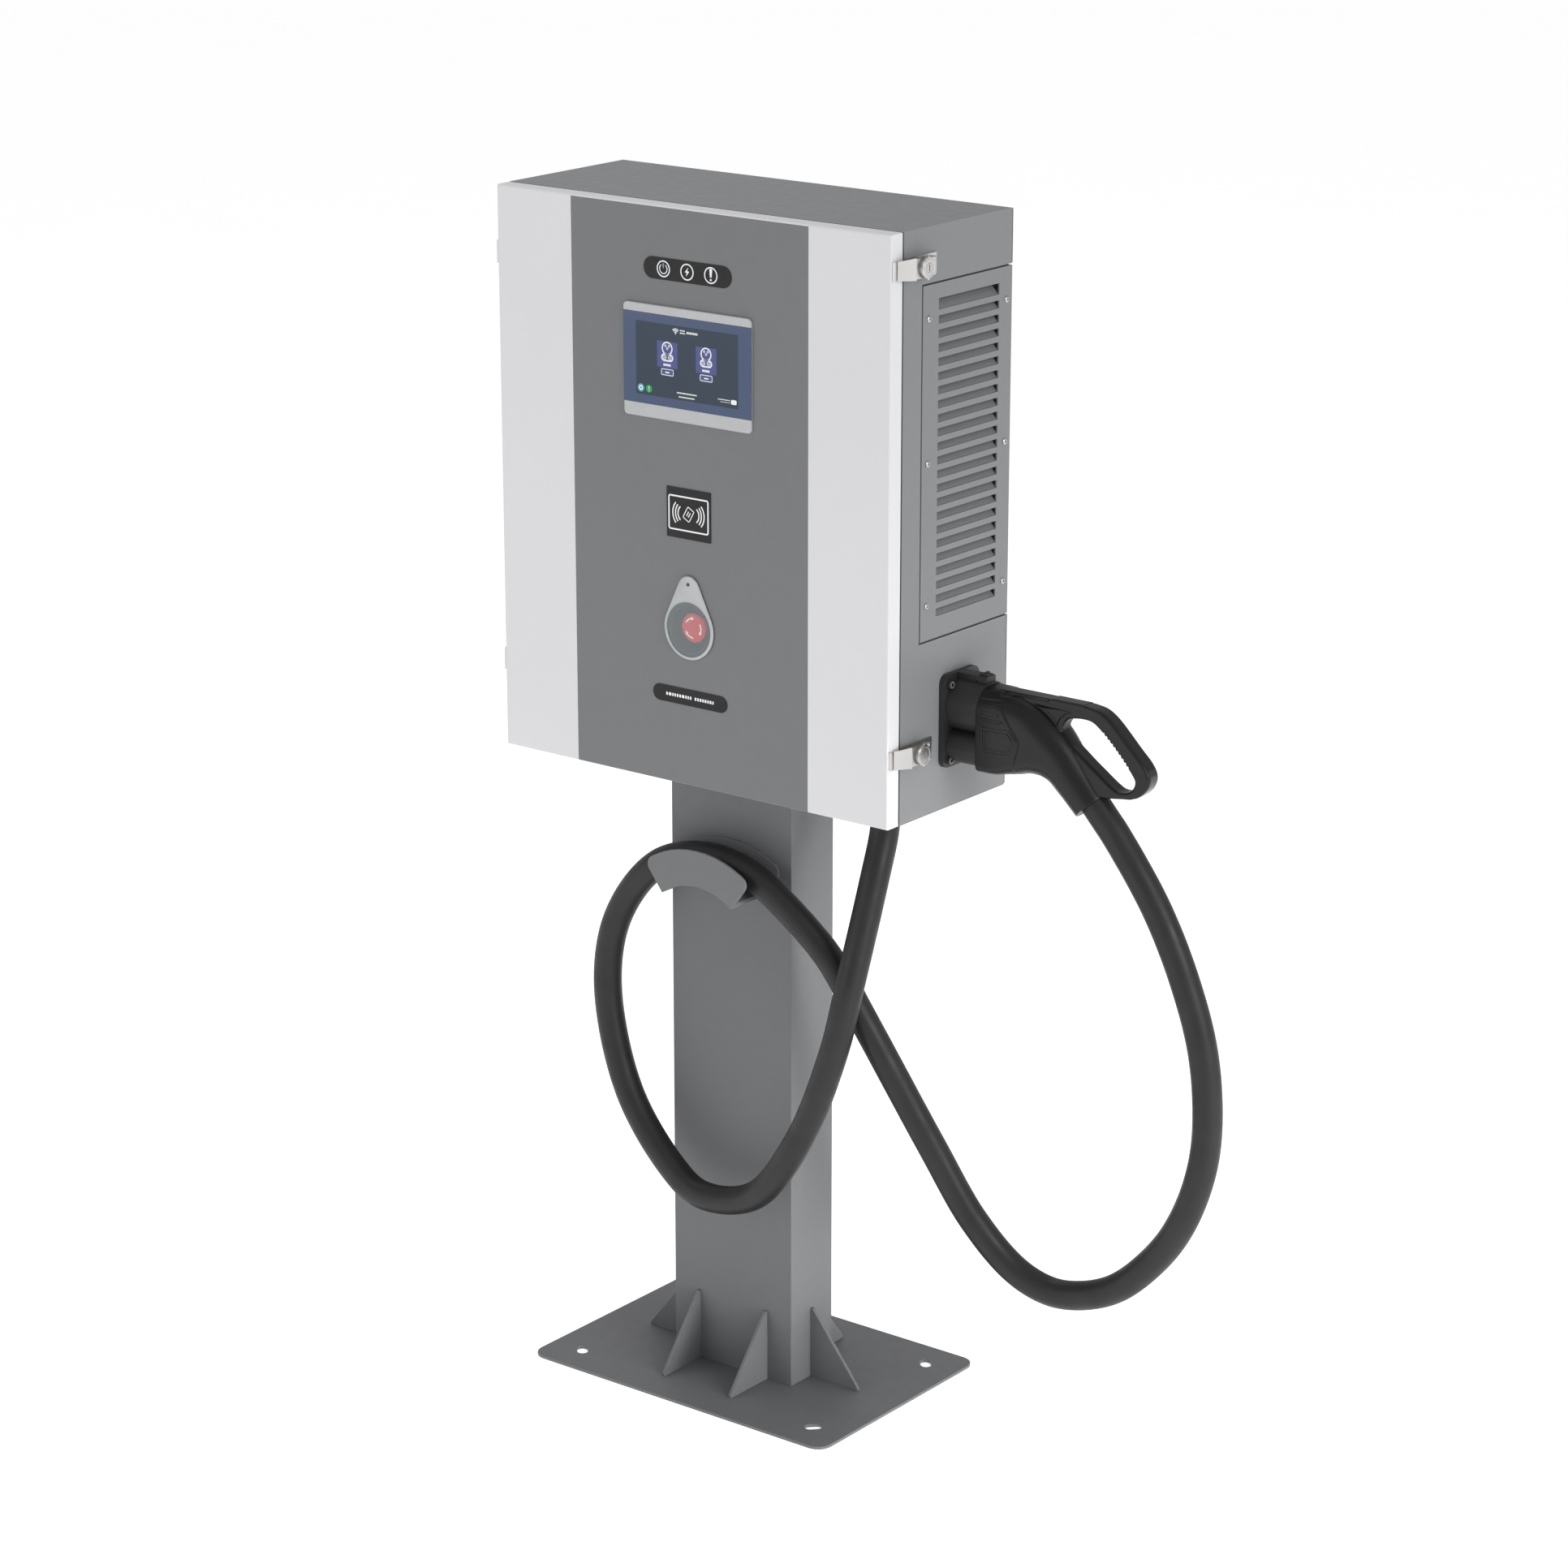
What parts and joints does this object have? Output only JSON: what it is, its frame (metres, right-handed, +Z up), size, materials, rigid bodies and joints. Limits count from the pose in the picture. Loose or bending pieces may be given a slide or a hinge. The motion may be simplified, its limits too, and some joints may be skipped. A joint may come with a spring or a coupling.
{
  "type": "ev charging post",
  "caption": "Free-standing electric vehicle charging post: column-mounted cabinet with hinged door, display, stop button, side louvres, holstered connector and looped cable.",
  "frame": {"origin": "centre of the base plate underside", "axes": "+Z up, -Y out of the door front, +X to the right of someone facing the door"},
  "size_m": [1.0567, 0.35, 1.603],
  "materials": {
    "stand_grey_paint": "fine satin powder coat",
    "cabinet_grey_paint": "fine satin powder coat",
    "rear_dark_paint": "matt dark coat",
    "rubber": "matt black rubber",
    "bright_steel": "bright machine screw steel",
    "nickel": "satin nickel plate",
    "zinc_sheet": "zinc plated sheet",
    "module_aluminium": "natural aluminium",
    "black_plastic": "fine moulded grain",
    "gloss_black_plastic": "gloss black",
    "white_plastic": "satin white",
    "door_white_paint": "fine satin powder coat",
    "fascia_grey_paint": "fine satin powder coat",
    "silver_paint": "silver satin coat",
    "display_glass": "tinted cover glass",
    "clear_lens": "clear tinted lens",
    "red_plastic": "signal red"
  },
  "bodies": {
    "post": {"base_plate": "stand_grey_paint", "column": "stand_grey_paint", "gusset_front_left": "stand_grey_paint", "gusset_front_right": "stand_grey_paint", "gusset_rear_left": "stand_grey_paint", "gusset_rear_right": "stand_grey_paint", "gusset_side_left": "stand_grey_paint", "gusset_side_right": "stand_grey_paint", "cable_saddle": "stand_grey_paint", "cabinet_shell": "cabinet_grey_paint", "rear_panel": "rear_dark_paint", "door_gasket": "rubber", "vent_panel": "cabinet_grey_paint", "vent_screw_1": "bright_steel", "vent_screw_2": "bright_steel", "vent_screw_3": "bright_steel", "vent_screw_4": "bright_steel", "vent_screw_5": "bright_steel", "vent_screw_6": "bright_steel", "fan_tray": "rear_dark_paint", "mounting_plate": "zinc_sheet", "power_module": "module_aluminium", "breaker": "black_plastic", "hinge_cabinet_leaf_upper": "cabinet_grey_paint", "hinge_cabinet_leaf_lower": "cabinet_grey_paint", "latch_base_upper": "nickel", "latch_base_lower": "nickel", "holster": "black_plastic", "lock_block": "black_plastic", "charging_cable": "rubber", "cable_gland": "black_plastic"},
    "door": {"door_panel": "door_white_paint", "fascia": "fascia_grey_paint", "display_bezel": "silver_paint", "display_glass": "display_glass", "light_strip": "gloss_black_plastic", "card_reader": "gloss_black_plastic", "label_strip": "gloss_black_plastic", "stop_housing": "black_plastic", "hinge_door_leaf_upper": "door_white_paint", "hinge_door_leaf_lower": "door_white_paint", "latch_keeper_upper": "nickel", "latch_keeper_lower": "nickel"},
    "stop_cover_swing_part": {"stop_cover": "silver_paint", "stop_lens": "clear_lens"},
    "stop_plunger": {"stop_stem": "black_plastic"},
    "stop_head": {"stop_button": "red_plastic"},
    "latch_arm_upper": {"latch_arm_upper": "nickel"},
    "latch_arm_lower": {"latch_arm_lower": "nickel"},
    "latch_key_upper": {"latch_key_upper": "nickel"},
    "latch_key_lower": {"latch_key_lower": "nickel"},
    "fan_rotor_lower": {"fan_rotor_lower": "black_plastic"},
    "fan_rotor_upper": {"fan_rotor_upper": "black_plastic"},
    "breaker_lever": {"breaker_lever": "white_plastic"},
    "connector": {"connector_shell": "black_plastic", "connector_nose": "black_plastic", "grip_insert": "gloss_black_plastic", "cable_boot": "rubber"},
    "lock_pin": {"lock_pin": "bright_steel"}
  },
  "joints": [
    {"name": "door_swing", "type": "hinge", "parent": "post", "child": "door", "pos_m": [-0.322, -0.104, 1.228], "axis": [0, 0, -1], "range_deg": [0, 120]},
    {"name": "stop_cover_swing", "type": "hinge", "parent": "door", "child": "stop_cover_swing_part", "pos_m": [0, -0.13, 1.122], "axis": [0, 1, 0], "range_deg": [-110, 110]},
    {"name": "stop_press", "type": "slide", "parent": "door", "child": "stop_plunger", "axis": [0, 1, 0], "range_m": [0, 0.004]},
    {"name": "stop_twist", "type": "hinge", "parent": "stop_plunger", "child": "stop_head", "pos_m": [0, -0.112, 1.0625], "axis": [0, 1, 0], "range_deg": [0, 45]},
    {"name": "latch_swing_upper", "type": "hinge", "parent": "post", "child": "latch_arm_upper", "pos_m": [0.324, -0.058, 1.558], "axis": [0, 0, 1], "range_deg": [0, 100]},
    {"name": "latch_swing_lower", "type": "hinge", "parent": "post", "child": "latch_arm_lower", "pos_m": [0.324, -0.058, 0.943], "axis": [0, 0, 1], "range_deg": [0, 100]},
    {"name": "key_turn_upper", "type": "hinge", "parent": "latch_arm_upper", "child": "latch_key_upper", "pos_m": [0.33, -0.0745, 1.558], "axis": [1, 0, 0], "range_deg": [0, 90]},
    {"name": "key_turn_lower", "type": "hinge", "parent": "latch_arm_lower", "child": "latch_key_lower", "pos_m": [0.33, -0.0745, 0.943], "axis": [1, 0, 0], "range_deg": [0, 90]},
    {"name": "connector_draw", "type": "slide", "parent": "post", "child": "connector", "axis": [1, 0, 0], "range_m": [0, 0.08]},
    {"name": "lock_pin_drop", "type": "slide", "parent": "post", "child": "lock_pin", "axis": [0, 0, -1], "range_m": [0, 0.005]},
    {"name": "fan_spin_lower", "type": "hinge", "parent": "post", "child": "fan_rotor_lower", "pos_m": [0.284, 0.033, 1.2], "axis": [1, 0, 0], "continuous": true},
    {"name": "fan_spin_upper", "type": "hinge", "parent": "post", "child": "fan_rotor_upper", "pos_m": [0.284, 0.033, 1.414], "axis": [1, 0, 0], "continuous": true},
    {"name": "breaker_tip", "type": "hinge", "parent": "post", "child": "breaker_lever", "pos_m": [-0.18, 0.052, 1], "axis": [1, 0, 0], "range_deg": [0, 40]}
  ]
}
